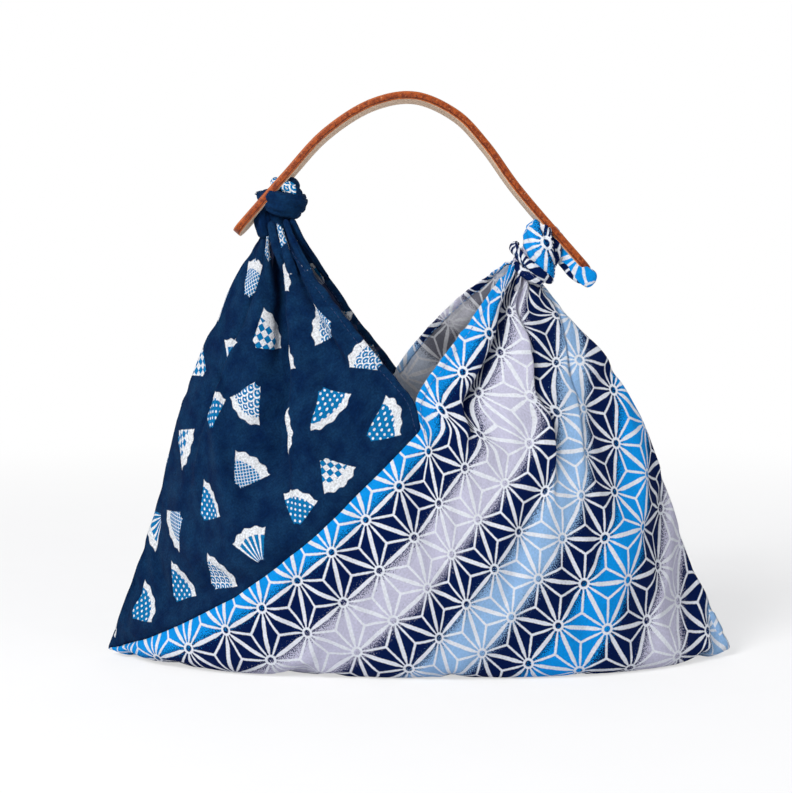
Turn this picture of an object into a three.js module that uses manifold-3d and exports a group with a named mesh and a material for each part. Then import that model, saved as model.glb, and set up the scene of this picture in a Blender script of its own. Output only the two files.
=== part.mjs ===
// An azuma bag: a strip of cloth, three squares long, folded into a soft triangular bag.
// The strip's two free corners are pulled through the slots of a leather handle and tied.
// The first square is a navy print. The other two are one piece with a hemp-leaf print.
// Millimetres, +Z up, +X to the right as the bag is seen from the front, +Y to the back.
import * as THREE from 'three';
import { mergeVertices } from 'three/addons/utils/BufferGeometryUtils.js';
import Module from 'manifold-3d';

// ---- driving dimensions ----
const SQUARE = 255; // finished side of each of the three squares
const CLOTH = 1.6; // thickness of the hemmed, slightly fluffed cotton
const SEAM_GAP = 1.2; // between the two panels, measured along a row of the cloth
const CORNER_GAP = 1.2; // how much the seam gap widens towards the bottom corner
const MOUTH = SQUARE / Math.SQRT2; // height of the mouth's lowest point in the flat fold
const BEND = 7; // how gently the cloth turns from the table up into a wall
const CORNER_LIFT = 4; // the two bottom corners curl up from the table
const BASE_SHIFT = 7; // how far the bottom fold's middle is pushed to the front
const SIDE_TURN = 0.35; // how much more of the cloth faces sideways near the side folds

const STRAP_WIDTH = 22;
const STRAP_THICK = 4.6;
const STRAP_END_ROUND = 7;
const STRAP_BEVEL = 0.9;
const SLOT_LENGTH = 15;
const SLOT_WIDTH = 10;
const SLOT_FROM_END = 26;
const CLEARANCE = 0.4; // tied cloth to leather

const BLUNT_TIP = 9; // the navy square's bottom corner is turned in by its hem
const LOW_ROWS = 8; // rows of facets near the table, over LOW_HEIGHT of cloth
const LOW_HEIGHT = 76;
const WALL_ROWS = 6;
const WING_ROWS = 9;
const NAVY_COLUMNS = 12; // facets of each face of the bag, from a panel's seam to its side fold
const ASANOHA_COLUMNS = 18;
const HANDLE_STATIONS = 44;

// The side folds, from the bottom corners (level 0) past the mouth's level (1) to the necks (2).
const SIDE_FOLDS = [
  { level: 0.0, leftX: -170, leftZ: 1, rightX: 171, rightZ: 1 },
  { level: 0.17, leftX: -161, leftZ: 29, rightX: 159, rightZ: 28 },
  { level: 0.33, leftX: -151, leftZ: 57, rightX: 147, rightZ: 55 },
  { level: 0.56, leftX: -139.5, leftZ: 96, rightX: 134, rightZ: 95 },
  { level: 0.78, leftX: -130, leftZ: 134, rightX: 121, rightZ: 130 },
  { level: 1.0, leftX: -116.5, leftZ: 170, rightX: 101, rightZ: 164 },
  { level: 1.3, leftX: -108, leftZ: 188, rightX: 87, rightZ: 179 },
  { level: 1.6, leftX: -99, leftZ: 207, rightX: 75, rightZ: 193 },
  { level: 1.85, leftX: -90, leftZ: 221, rightX: 66, rightZ: 204 },
  { level: 2.0, leftX: -84, leftZ: 229, rightX: 62, rightZ: 212 },
];

// The mouth's hemmed edges, from the lowest point of the mouth (level 1) to the necks (2).
const FRONT_EDGES = [
  { level: 1.0, leftX: 0, leftZ: 129, leftY: 45, rightX: 0, rightZ: 129, rightY: 45 },
  { level: 1.12, leftX: -4, leftZ: 143, leftY: 41, rightX: -2, rightZ: 142, rightY: 40 },
  { level: 1.3, leftX: -18, leftZ: 160, leftY: 34, rightX: 6, rightZ: 156, rightY: 33 },
  { level: 1.6, leftX: -41, leftZ: 188, leftY: 22, rightX: 25, rightZ: 181, rightY: 22 },
  { level: 1.85, leftX: -60, leftZ: 213, leftY: 12, rightX: 41, rightZ: 203, rightY: 12 },
  { level: 2.0, leftX: -72, leftZ: 230, leftY: 6, rightX: 50.5, rightZ: 215, rightY: 6 },
];
const BACK_EDGES = [
  { level: 1.0, leftX: -12, leftZ: 156, leftY: 35, rightX: -12, rightZ: 156, rightY: 35 },
  { level: 1.12, leftX: -19, leftZ: 165, leftY: 32, rightX: -6, rightZ: 165, rightY: 32 },
  { level: 1.3, leftX: -32, leftZ: 181, leftY: 26, rightX: 5, rightZ: 178, rightY: 26 },
  { level: 1.6, leftX: -45, leftZ: 203, leftY: 17, rightX: 22, rightZ: 195, rightY: 17 },
  { level: 1.85, leftX: -61, leftZ: 223, leftY: 10, rightX: 39, rightZ: 208, rightY: 10 },
  { level: 2.0, leftX: -70, leftZ: 234, leftY: 6, rightX: 50.5, rightZ: 216, rightY: 6 },
];

// The two faces of the bag: outward is the sign of Y, foot is how far the cloth lies on the
// table from the bottom fold, belly is how far the wall swells, rise is its height to length.
const FRONT = { outward: -1, foot: 48, top: 45, belly: 11, rise: 0.977, mouthX: 0, edges: FRONT_EDGES };
const BACK = { outward: 1, foot: 32, top: 35, belly: 9, rise: 1.054, mouthX: -12, edges: BACK_EDGES };

// Main folds that hang from the necks. centre is the place between the mouth's edge (0) and
// the side fold (1), at the neck and at the end of the fold. depth is outward, or inward below 0.
const FOLDS = [
  { side: 'left', face: FRONT, neckCentre: 0.42, endCentre: 0.6, endLevel: 0.55, width: 0.12, depth: -9 },
  { side: 'left', face: FRONT, neckCentre: 0.2, endCentre: 0.42, endLevel: 0.6, width: 0.16, depth: 5 },
  { side: 'left', face: FRONT, neckCentre: 0.7, endCentre: 0.8, endLevel: 0.4, width: 0.12, depth: 5 },
  { side: 'left', face: BACK, neckCentre: 0.35, endCentre: 0.4, endLevel: 0.45, width: 0.14, depth: -6 },
  { side: 'left', face: BACK, neckCentre: 0.65, endCentre: 0.72, endLevel: 0.3, width: 0.14, depth: 5 },
  { side: 'right', face: FRONT, neckCentre: 0.3, endCentre: 0.36, endLevel: 0.7, width: 0.1, depth: -7 },
  { side: 'right', face: FRONT, neckCentre: 0.5, endCentre: 0.55, endLevel: 0.3, width: 0.12, depth: 6 },
  { side: 'right', face: FRONT, neckCentre: 0.78, endCentre: 0.72, endLevel: 0.45, width: 0.1, depth: 4 },
  { side: 'right', face: BACK, neckCentre: 0.3, endCentre: 0.38, endLevel: 0.4, width: 0.14, depth: -6 },
  { side: 'right', face: BACK, neckCentre: 0.62, endCentre: 0.66, endLevel: 0.3, width: 0.14, depth: 6 },
];

// Lumps of each tied knot: place, size, and turn about Y in degrees.
const LEFT_KNOT = [
  { name: 'neck', x: -77, y: 0, z: 230, rx: 9, ry: 8.5, rz: 12, turn: 20 },
  { name: 'wrap', x: -71.5, y: -1, z: 243, rx: 12.5, ry: 11, rz: 8.5, turn: 8 },
  { name: 'under the leather', x: -82, y: 0, z: 238, rx: 8, ry: 9, rz: 8, turn: 0 },
  { name: 'turned end', x: -68, y: -2, z: 254, rx: 7.5, ry: 8, rz: 7.5, turn: 0 },
  { name: 'through the slot', x: -80, y: 0, z: 249, rx: 9, ry: 6.5, rz: 10, turn: -42 },
];
const RIGHT_KNOT = [
  { name: 'neck', x: 56.5, y: 0, z: 211, rx: 9, ry: 8.5, rz: 10, turn: -10 },
  { name: 'wrap', x: 63.5, y: -1, z: 223, rx: 11.5, ry: 11.5, rz: 14.5, turn: -35 },
  { name: 'small loop', x: 60, y: -5, z: 209, rx: 6, ry: 6, rz: 5, turn: 0 },
  { name: 'through the slot', x: 73, y: 0, z: 227, rx: 9, ry: 6.5, rz: 10, turn: 44 },
  { name: 'tail root', x: 78, y: -2, z: 216, rx: 6, ry: 8, rz: 8, turn: -35 },
  { name: 'tail', x: 85.5, y: -3, z: 206.5, rx: 6.2, ry: 5, rz: 12.5, turn: -38 },
];

// The handle's outer line, seen from the front, end to end.
const HANDLE_LINE = [
  { x: -99.5, z: 231.5 },
  { x: -73.5, z: 260.5 },
  { x: -51, z: 284.5 },
  { x: -25, z: 300.5 },
  { x: -2, z: 304 },
  { x: 21, z: 294 },
  { x: 37, z: 277.5 },
  { x: 53.5, z: 255 },
  { x: 83.5, z: 220.5 },
  { x: 92, z: 211 },
];

const navyCotton = new THREE.MeshStandardMaterial({ color: 0x10305e, roughness: 0.92, metalness: 0 });
const asanohaCotton = new THREE.MeshStandardMaterial({ color: 0x6f9fd0, roughness: 0.92, metalness: 0 });
const tannedLeather = new THREE.MeshStandardMaterial({ color: 0xa85a2a, roughness: 0.55, metalness: 0 });

// ---- small helpers ----
const mix = (from, to, part) => from + (to - from) * part;
const hump = (part) => 4 * part * (1 - part);

// A smooth value of one column between a table's rows.
function between(rows, column, level) {
  let row = 0;
  while (row < rows.length - 2 && rows[row + 1].level < level) {
    row += 1;
  }
  const here = rows[row];
  const next = rows[row + 1];
  const before = rows[Math.max(row - 1, 0)];
  const after = rows[Math.min(row + 2, rows.length - 1)];
  const span = next.level - here.level;
  const slopeHere = ((next[column] - before[column]) / (next.level - before.level)) * span;
  const slopeNext = ((after[column] - here[column]) / (after.level - here.level)) * span;
  const t = THREE.MathUtils.clamp((level - here.level) / span, 0, 1);
  const bow = slopeHere * t * (1 - t) ** 2 - slopeNext * t * t * (1 - t);
  return mix(here[column], next[column], t * t * (3 - 2 * t)) + bow;
}

// Zero before the bend, a straight climb after it, and a round turn between the two.
function climbAfter(distance, bend) {
  if (distance <= -bend) return 0;
  if (distance >= bend) return distance;
  return (distance + bend) ** 2 / (4 * bend);
}

// ---- the shape of the hanging cloth ----
// A point of the lower bag: across runs from the left side fold (-1) to the right one (1).
function bodyPoint(face, across, level) {
  const side = across < 0 ? 'left' : 'right';
  const reach = Math.abs(across);
  const plump = 1 - reach ** 3;
  const run = level * MOUTH;
  const foot = face.foot * plump;
  const climb = climbAfter(run - foot, Math.min(BEND, foot));
  const climbed = climb / (MOUTH - foot);
  const foldX = between(SIDE_FOLDS, side + 'X', level);
  const foldZ = between(SIDE_FOLDS, side + 'Z', level);
  const foldRise = run > 0 ? foldZ / run : 1;
  const swell = face.belly * hump(climbed) + (face.top - face.foot) * climbed;
  const shift = face.outward * BASE_SHIFT * (1 - climbed);
  const out = Math.min(run - climb, foot) + (swell - shift) * plump;
  const rise = mix(face.rise, foldRise, reach ** 2);
  const x = mix(face.mouthX * level ** 2, foldX, reach + SIDE_TURN * reach * (1 - reach));
  const lift = CORNER_LIFT * reach ** 12 * (1 - level);
  return new THREE.Vector3(x, face.outward * out, climb * rise + lift);
}

// A point of the cloth above the mouth's lowest point: across runs from the hemmed edge (0)
// to the side fold (1). The lower bag's form fades out towards the neck.
function wingPoint(face, side, across, level) {
  const sign = side === 'left' ? -1 : 1;
  const edgeAt = (height) =>
    new THREE.Vector3(
      between(face.edges, side + 'X', height),
      face.outward * between(face.edges, side + 'Y', height),
      between(face.edges, side + 'Z', height),
    );
  const foldAt = (height) =>
    new THREE.Vector3(between(SIDE_FOLDS, side + 'X', height), 0, between(SIDE_FOLDS, side + 'Z', height));
  const straight = edgeAt(level).lerp(foldAt(level), across);
  const lowStraight = edgeAt(1).lerp(foldAt(1), across);
  const departure = bodyPoint(face, sign * across, 1).sub(lowStraight);
  const point = straight.addScaledVector(departure, 2 - level);
  point.y += face.outward * (level - 1) * 3 * hump(across);
  return point;
}

// How far the main folds push the cloth out at one place.
function foldDepth(face, side, across, level) {
  let depth = 0;
  for (const fold of FOLDS) {
    if (fold.face !== face || fold.side !== side || level < fold.endLevel) continue;
    const height = (level - fold.endLevel) / (2 - fold.endLevel);
    const centre = mix(fold.endCentre, fold.neckCentre, height);
    const offset = (across - centre) / fold.width;
    const fullness = Math.sin(Math.PI * Math.min(height * 1.15, 1)) ** 0.8;
    depth += fold.depth * fullness * Math.exp(-offset * offset);
  }
  return depth;
}

// One place on the cloth's middle surface. part runs along one face from a panel's
// front or back seam (0) to its side fold (1).
function clothPoint(face, side, part, level) {
  const seam = level - 1;
  const position = side === 'left' ? mix(seam, -1, part) : mix(seam, 1, part);
  const low = level <= 1;
  const point = low ? bodyPoint(face, position, level) : wingPoint(face, side, part, level);
  const across = low ? Math.abs(position) : part;
  const hangsFrom = low && position < 0 ? 'left' : side;
  const edgeFade = Math.min(1, hump(across) * 1.6);
  point.y += face.outward * foldDepth(face, hangsFrom, across, level) * edgeFade;
  point.z += CLOTH / 2;
  return point;
}

// ---- solids ----
const wasm = await Module();
wasm.setup();

function toManifold(geometry) {
  const bare = geometry.clone();
  bare.deleteAttribute('normal');
  bare.deleteAttribute('uv');
  const merged = mergeVertices(bare, 1e-4);
  return new wasm.Manifold(
    new wasm.Mesh({
      numProp: 3,
      vertProperties: new Float32Array(merged.attributes.position.array),
      triVerts: new Uint32Array(merged.index.array),
    }),
  );
}

function toGeometry(manifold) {
  const mesh = manifold.getMesh();
  const geometry = new THREE.BufferGeometry();
  geometry.setAttribute('position', new THREE.BufferAttribute(new Float32Array(mesh.vertProperties), 3));
  geometry.setIndex(new THREE.BufferAttribute(new Uint32Array(mesh.triVerts), 1));
  geometry.computeVertexNormals();
  return geometry;
}

// A sheet of even thickness on both sides of a grid of points. triangles index the points.
function thickSheet(points, triangles, thickness) {
  const normals = points.map(() => new THREE.Vector3());
  const edgeA = new THREE.Vector3();
  const edgeB = new THREE.Vector3();
  for (const [a, b, c] of triangles) {
    edgeA.subVectors(points[b], points[a]);
    edgeB.subVectors(points[c], points[a]);
    const facing = edgeA.cross(edgeB);
    for (const corner of [a, b, c]) {
      normals[corner].add(facing);
    }
  }
  const count = points.length;
  const positions = [];
  for (const direction of [1, -1]) {
    points.forEach((point, i) => {
      const offset = normals[i].clone().setLength((direction * thickness) / 2);
      positions.push(...point.clone().add(offset).toArray());
    });
  }
  const faces = [];
  const halfEdges = new Set();
  for (const [a, b, c] of triangles) {
    faces.push(a, b, c, c + count, b + count, a + count);
    for (const [from, to] of [[a, b], [b, c], [c, a]]) {
      halfEdges.add(`${from},${to}`);
    }
  }
  for (const edge of halfEdges) {
    const [from, to] = edge.split(',').map(Number);
    if (halfEdges.has(`${to},${from}`)) continue;
    faces.push(to, from, from + count, to, from + count, to + count);
  }
  const geometry = new THREE.BufferGeometry();
  geometry.setAttribute('position', new THREE.Float32BufferAttribute(positions, 3));
  geometry.setIndex(faces);
  return geometry;
}

// The rows of a panel, closer where the cloth turns up from the table.
function panelLevels(closedBottom) {
  const levels = closedBottom ? [0] : [];
  for (let row = 0; row < LOW_ROWS; row += 1) {
    levels.push((BLUNT_TIP + (row * LOW_HEIGHT) / LOW_ROWS) / MOUTH);
  }
  const wallStart = levels.at(-1);
  for (let row = 1; row <= WALL_ROWS; row += 1) {
    levels.push(mix(wallStart, 1, row / WALL_ROWS));
  }
  for (let row = 1; row <= WING_ROWS; row += 1) {
    levels.push(1 + row / WING_ROWS);
  }
  return levels;
}

// A panel's sheet: each row runs along the front to the side fold and back along the back face.
// With a closed bottom, the first row's front and back halves are the same points.
function panelSheet(side, perFace, closedBottom) {
  const levels = panelLevels(closedBottom);
  const columns = perFace * 2;
  const points = [];
  const grid = levels.map((level, row) => {
    const line = [];
    for (let column = 0; column <= columns; column += 1) {
      if (row === 0 && closedBottom && column > perFace) {
        line.push(line[columns - column]);
        continue;
      }
      const face = column <= perFace ? FRONT : BACK;
      const step = column <= perFace ? column / perFace : (columns - column) / perFace;
      const length = side === 'left' ? Math.min(level, 2 - level) : 2 - level;
      const cornerEase = 1 + CORNER_GAP * Math.max(1 - level, 0) ** 6;
      const inset = level < 1.001 ? ((SEAM_GAP / 2) * cornerEase) / (length * MOUTH) : 0;
      line.push(points.push(clothPoint(face, side, mix(inset, 1, step), level)) - 1);
    }
    return line;
  });
  const triangles = [];
  const outwards = side === 'left' ? [0, 2, 1] : [0, 1, 2];
  for (let row = 0; row < levels.length - 1; row += 1) {
    for (let column = 0; column < columns; column += 1) {
      const a = grid[row][column];
      const b = grid[row][column + 1];
      const c = grid[row + 1][column + 1];
      const d = grid[row + 1][column];
      const shortWay = points[a].distanceTo(points[c]) <= points[b].distanceTo(points[d]);
      const halves = shortWay ? [[a, b, c], [a, c, d]] : [[a, b, d], [b, c, d]];
      for (const corners of halves) {
        const turned = outwards.map((k) => corners[k]);
        if (new Set(turned).size === 3) triangles.push(turned);
      }
    }
  }
  return thickSheet(points, triangles, CLOTH);
}

function lumpSolid(lump) {
  const geometry = new THREE.SphereGeometry(1, 14, 9);
  geometry.scale(lump.rx, lump.ry, lump.rz);
  geometry.rotateY(THREE.MathUtils.degToRad(lump.turn));
  geometry.translate(lump.x, lump.y, lump.z);
  return toManifold(geometry);
}

// The handle as a swept flat section with bevelled edges and rounded ends.
const handleCurve = new THREE.CatmullRomCurve3(
  HANDLE_LINE.map((row) => new THREE.Vector3(row.x, 0, row.z)),
  false,
  'centripetal',
);
const handleLength = handleCurve.getLength();

function strapSolid(grow) {
  const rings = [];
  for (let i = 0; i <= HANDLE_STATIONS; i += 1) {
    const part = i / HANDLE_STATIONS;
    const along = mix(part, 0.5 - 0.5 * Math.cos(Math.PI * part), 0.55);
    const fromEnd = Math.min(along, 1 - along) * handleLength;
    const cut = Math.max(STRAP_END_ROUND - fromEnd, 0);
    const narrowed = STRAP_END_ROUND - Math.sqrt(STRAP_END_ROUND ** 2 - cut ** 2);
    const half = STRAP_WIDTH / 2 - narrowed + grow;
    const centre = handleCurve.getPointAt(along);
    const tangent = handleCurve.getTangentAt(along);
    const up = new THREE.Vector3(-tangent.z, 0, tangent.x);
    if (i === 0) centre.addScaledVector(tangent, -grow);
    if (i === HANDLE_STATIONS) centre.addScaledVector(tangent, grow);
    const top = grow;
    const bottom = -STRAP_THICK - grow;
    const bevel = STRAP_BEVEL;
    const outline = [
      [-half, bottom + bevel], [-half + bevel, bottom], [half - bevel, bottom], [half, bottom + bevel],
      [half, top - bevel], [half - bevel, top], [-half + bevel, top], [-half, top - bevel],
    ];
    rings.push(outline.map(([y, height]) => centre.clone().addScaledVector(up, height).setY(y)));
  }
  const points = rings.flat();
  const sides = rings[0].length;
  const faces = [];
  for (let i = 0; i < HANDLE_STATIONS; i += 1) {
    for (let k = 0; k < sides; k += 1) {
      const a = i * sides + k;
      const b = i * sides + ((k + 1) % sides);
      faces.push(a, b, b + sides, a, b + sides, a + sides);
    }
  }
  const last = HANDLE_STATIONS * sides;
  for (let k = 1; k < sides - 1; k += 1) {
    faces.push(0, k + 1, k);
    faces.push(last, last + k, last + k + 1);
  }
  const geometry = new THREE.BufferGeometry();
  geometry.setAttribute('position', new THREE.Float32BufferAttribute(points.flatMap((p) => p.toArray()), 3));
  geometry.setIndex(faces);
  return toManifold(geometry);
}

// A tool that goes through the strap where its slot is: an oblong standing square to the leather.
function slotTool(fromEnd, shrink) {
  const along = fromEnd / handleLength;
  const centre = handleCurve.getPointAt(along);
  const tangent = handleCurve.getTangentAt(along);
  const half = SLOT_WIDTH / 2 - shrink;
  const straight = SLOT_LENGTH / 2 - SLOT_WIDTH / 2;
  const outline = new THREE.Shape();
  outline.absarc(straight, 0, half, -Math.PI / 2, Math.PI / 2, false);
  outline.absarc(-straight, 0, half, Math.PI / 2, (3 * Math.PI) / 2, false);
  const geometry = new THREE.ExtrudeGeometry(outline, {
    depth: STRAP_THICK * 4,
    bevelEnabled: false,
    curveSegments: 8,
  });
  geometry.translate(0, 0, -STRAP_THICK * 2.5);
  const up = new THREE.Vector3(-tangent.z, 0, tangent.x);
  const across = new THREE.Vector3().crossVectors(up, tangent);
  geometry.applyMatrix4(new THREE.Matrix4().makeBasis(tangent, across, up).setPosition(centre));
  return toManifold(geometry);
}

function handleSolid(grow) {
  let strap = strapSolid(grow);
  for (const place of [SLOT_FROM_END, handleLength - SLOT_FROM_END]) {
    strap = strap.subtract(slotTool(place, grow));
  }
  return strap;
}

// A panel with its tied corner: the knot's lumps are one with the sheet, cut clear of the leather.
function panelSolid(sheet, knot) {
  let solid = toManifold(sheet);
  for (const lump of knot) {
    solid = solid.add(lumpSolid(lump));
  }
  return solid.subtract(handleSolid(CLEARANCE));
}

// ---- assembly ----
const bag = new THREE.Group();
const sheets = {
  navy_panel: { sheet: panelSheet('left', NAVY_COLUMNS, false), knot: LEFT_KNOT, material: navyCotton },
  asanoha_panel: { sheet: panelSheet('right', ASANOHA_COLUMNS, true), knot: RIGHT_KNOT, material: asanohaCotton },
};
for (const [name, { sheet, knot, material }] of Object.entries(sheets)) {
  const mesh = new THREE.Mesh(toGeometry(panelSolid(sheet, knot)), material);
  mesh.name = name;
  bag.add(mesh);
}
const handle = new THREE.Mesh(toGeometry(handleSolid(0)), tannedLeather);
handle.name = 'leather_handle';
bag.add(handle);

// The bag stands with the middle of its box over the origin.
const box = new THREE.Box3().setFromObject(bag);
const middle = box.getCenter(new THREE.Vector3());
bag.position.set(-middle.x, -middle.y, -box.min.z);

export default bag;
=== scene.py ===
import math

import bmesh
import bpy
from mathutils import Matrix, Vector, noise
from mathutils.kdtree import KDTree


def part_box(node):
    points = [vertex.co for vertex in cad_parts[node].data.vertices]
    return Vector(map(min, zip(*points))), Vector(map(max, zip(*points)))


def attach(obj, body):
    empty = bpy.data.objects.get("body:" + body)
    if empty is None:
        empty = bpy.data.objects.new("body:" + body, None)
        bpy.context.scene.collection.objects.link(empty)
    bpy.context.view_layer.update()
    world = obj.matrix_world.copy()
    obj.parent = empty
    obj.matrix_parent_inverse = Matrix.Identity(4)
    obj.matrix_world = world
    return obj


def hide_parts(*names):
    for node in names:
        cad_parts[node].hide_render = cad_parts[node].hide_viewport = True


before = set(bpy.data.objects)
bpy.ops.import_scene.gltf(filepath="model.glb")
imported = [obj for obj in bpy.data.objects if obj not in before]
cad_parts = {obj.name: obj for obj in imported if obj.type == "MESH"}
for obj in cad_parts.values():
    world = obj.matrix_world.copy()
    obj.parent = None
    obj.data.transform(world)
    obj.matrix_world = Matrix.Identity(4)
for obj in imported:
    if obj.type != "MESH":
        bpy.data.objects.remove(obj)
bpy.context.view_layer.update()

# An azuma bag: a strip of cloth three squares long, folded into a soft triangular bag and tied
# through the slots of a leather handle. Sizes are in millimetres until a mesh is made.
MM = 0.001

# ---- main sizes ----
SQUARE = 255.0  # finished side of each square of cloth
MOUTH = SQUARE / math.sqrt(2)  # height of the mouth's lowest point in the flat fold
CELLS = 50  # cells of cloth across half of the flat fold
BEND = 15.0  # half the length of cloth over which the bottom turns up into a face
CORNER_LIFT = 4.0  # of the bottom corners off the floor
BASE_SHIFT = 7.0  # how far the bottom is set towards the front
SIDE_TURN = 0.35
LOWEST = 0.35  # height of the lowest cloth before it settles
CLOTH_THICK = 0.7
SEAM_DEPTH = 0.9
HEM_WIDTH = 4.4
HEM_THICK = 1.7
STITCH_IN = 3.4  # from the hemmed edge
STITCH_PITCH = 2.9
STITCH_LENGTH = 2.1
THREAD_WIDTH = 0.38
SIDE_TUCK = 8.0  # how far the right side of the cloth turns in at a side fold
STRAP_WIDTH = 22.0
STRAP_THICK = 4.6
STRAP_END_ROUND = 7.0
SLOT_LENGTH = 15.0
SLOT_WIDTH = 10.0
SLOT_FROM_END = 26.0
HANDLE_LOW_X = -99.53  # lowest x of the strap in the maker's own frame, where the strap's plane is y = 0

handle_low, handle_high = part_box("leather_handle")
SHIFT = Vector((handle_low.x / MM - HANDLE_LOW_X, (handle_low.y + handle_high.y) / 2 / MM, 0.0))

# ---- the shape of the hanging cloth ----
# Side folds from the bottom corners (level 0) past the mouth's level (1) to the necks (2).
SIDE_FOLDS = {
    "level": (0.0, 0.17, 0.33, 0.56, 0.78, 1.0, 1.3, 1.6, 1.85, 2.0),
    "left_x": (-170, -161, -151, -139.5, -130, -116.5, -108, -99, -90, -84),
    "left_z": (1, 29, 57, 96, 134, 170, 188, 207, 221, 229),
    "right_x": (171, 159, 147, 134, 121, 101, 87, 75, 66, 62),
    "right_z": (1, 28, 55, 95, 130, 164, 179, 193, 204, 212),
}
# The mouth's hemmed edges from its lowest point (level 1) to the necks (2).
FRONT_EDGES = {
    "level": (1.0, 1.12, 1.3, 1.6, 1.85, 2.0),
    "left_x": (0, -4, -18, -41, -60, -72),
    "left_z": (129, 143, 160, 188, 213, 230),
    "left_y": (45, 41, 34, 22, 12, 6),
    "right_x": (0, -2, 6, 25, 41, 50.5),
    "right_z": (129, 142, 156, 181, 203, 215),
    "right_y": (45, 40, 33, 22, 12, 6),
}
BACK_EDGES = {
    "level": (1.0, 1.12, 1.3, 1.6, 1.85, 2.0),
    "left_x": (-12, -19, -32, -46.5, -62, -69),
    "left_z": (156, 165, 181, 202.5, 222, 234),
    "left_y": (35, 32, 26, 17, 10, 6),
    "right_x": (-12, -6, 5, 22, 39, 50.5),
    "right_z": (156, 165, 178, 195, 208, 216),
    "right_y": (35, 32, 26, 17, 10, 6),
}
FACES = {
    "front": dict(outward=-1, foot=42, top=45, belly=14, rise=0.933, mouth_x=0, edges=FRONT_EDGES),
    "back": dict(outward=1, foot=32, top=35, belly=9, rise=1.054, mouth_x=-12, edges=BACK_EDGES),
}
# Where each wing is gathered into its knot: how far up the cloth, and the place.
NECKS = {
    "left": dict(fold_run=245.0, rim_run=273.0, x=-75.5, z=231.0, wide=8.6, deep=6.0),
    "right": dict(fold_run=245.0, rim_run=259.0, x=56.5, z=213.5, wide=7.4, deep=6.0),
}
# Main folds that hang from the necks. neck is the place from the mouth's edge (0) to the side
# fold (1), end the place in the flat cloth where the fold dies, share its part of the spare
# cloth, lean how far it is laid over to the side fold, in degrees, hollow how deep the cloth sinks
# beside it, and grow how much of its length it takes to reach its full depth.
FOLDS = {
    ("front", "left"): (
        dict(neck=0.30, end_x=66, end_run=125, share=0.38, lean=-48, hollow=15),
        dict(neck=0.72, end_x=146, end_run=105, share=0.24, lean=-50, hollow=4),
        dict(neck=0.12, end_x=36, end_run=190, share=0.16, lean=-45, hollow=1.5),
        dict(neck=0.52, end_x=112, end_run=190, share=0.12, lean=40, hollow=0),
    ),
    ("front", "right"): (
        dict(neck=0.24, end_x=28, end_run=165, share=0.32, lean=-16, hollow=7),
        dict(neck=0.50, end_x=82, end_run=108, share=0.34, lean=-28, hollow=5, grow=0.5),
        dict(neck=1.08, end_x=94, end_run=110, share=0.25, lean=-42, hollow=4, grow=0.6),
    ),
    ("back", "left"): (
        dict(neck=0.22, end_x=50, end_run=120, share=0.26, lean=-40, hollow=3),
        dict(neck=0.50, end_x=92, end_run=50, share=0.34, lean=55, hollow=5),
        dict(neck=0.78, end_x=140, end_run=70, share=0.26, lean=40, hollow=3),
    ),
    ("back", "right"): (
        dict(neck=0.25, end_x=55, end_run=110, share=0.28, lean=40, hollow=3),
        dict(neck=0.52, end_x=95, end_run=50, share=0.34, lean=-55, hollow=5),
        dict(neck=0.80, end_x=140, end_run=80, share=0.24, lean=-40, hollow=3),
    ),
}
HOLLOW_WIDTH = 0.13
FOLD_DEPTH = 17.0  # deepest that a fold may be, half way up a wing
FOLD_DEPTH_AT_NECK = 5.0
ROW_STEPS = 240
GATHERS = 5  # small gathers across half a side, between the main folds
GATHER_DEPTH = 3.2
CROWDING = 0.22  # how much closer the front right cloth lies at its middle than at its side
FOLD_CLEARANCE = 1.8  # how far a fold turns straight in before it leans over
NECK_TURN = 150  # degrees of the neck that one face's cloth goes round
NECK_PLEAT = 1.7  # depth of the neck's tight pleats

# The handle's outer line, seen from the front.
HANDLE_LINE = (
    (-99.5, 231.5), (-73.5, 260.5), (-51, 284.5), (-25, 300.5), (-2, 304),
    (21, 294), (37, 277.5), (53.5, 255), (83.5, 220.5), (92, 211),
)


def mix(start, end, part):
    return start + (end - start) * part


def hump(part):
    return 4 * part * (1 - part)


def ease(part):
    part = min(max(part, 0.0), 1.0)
    return part * part * (3 - 2 * part)


def between(rows, column, level):
    """A smooth value of one column between a table's rows."""
    levels, values = rows["level"], rows[column]
    row = 0
    while row < len(levels) - 2 and levels[row + 1] < level:
        row += 1
    before, after = max(row - 1, 0), min(row + 2, len(levels) - 1)
    span = levels[row + 1] - levels[row]
    slope_here = (values[row + 1] - values[before]) / (levels[row + 1] - levels[before]) * span
    slope_next = (values[after] - values[row]) / (levels[after] - levels[row]) * span
    part = min(max((level - levels[row]) / span, 0), 1)
    bow = slope_here * part * (1 - part) ** 2 - slope_next * part * part * (1 - part)
    return mix(values[row], values[row + 1], ease(part)) + bow


def climb_after(distance, bend):
    if distance <= -bend:
        return 0.0
    if distance >= bend:
        return distance
    return (distance + bend) ** 2 / (4 * bend)


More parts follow.
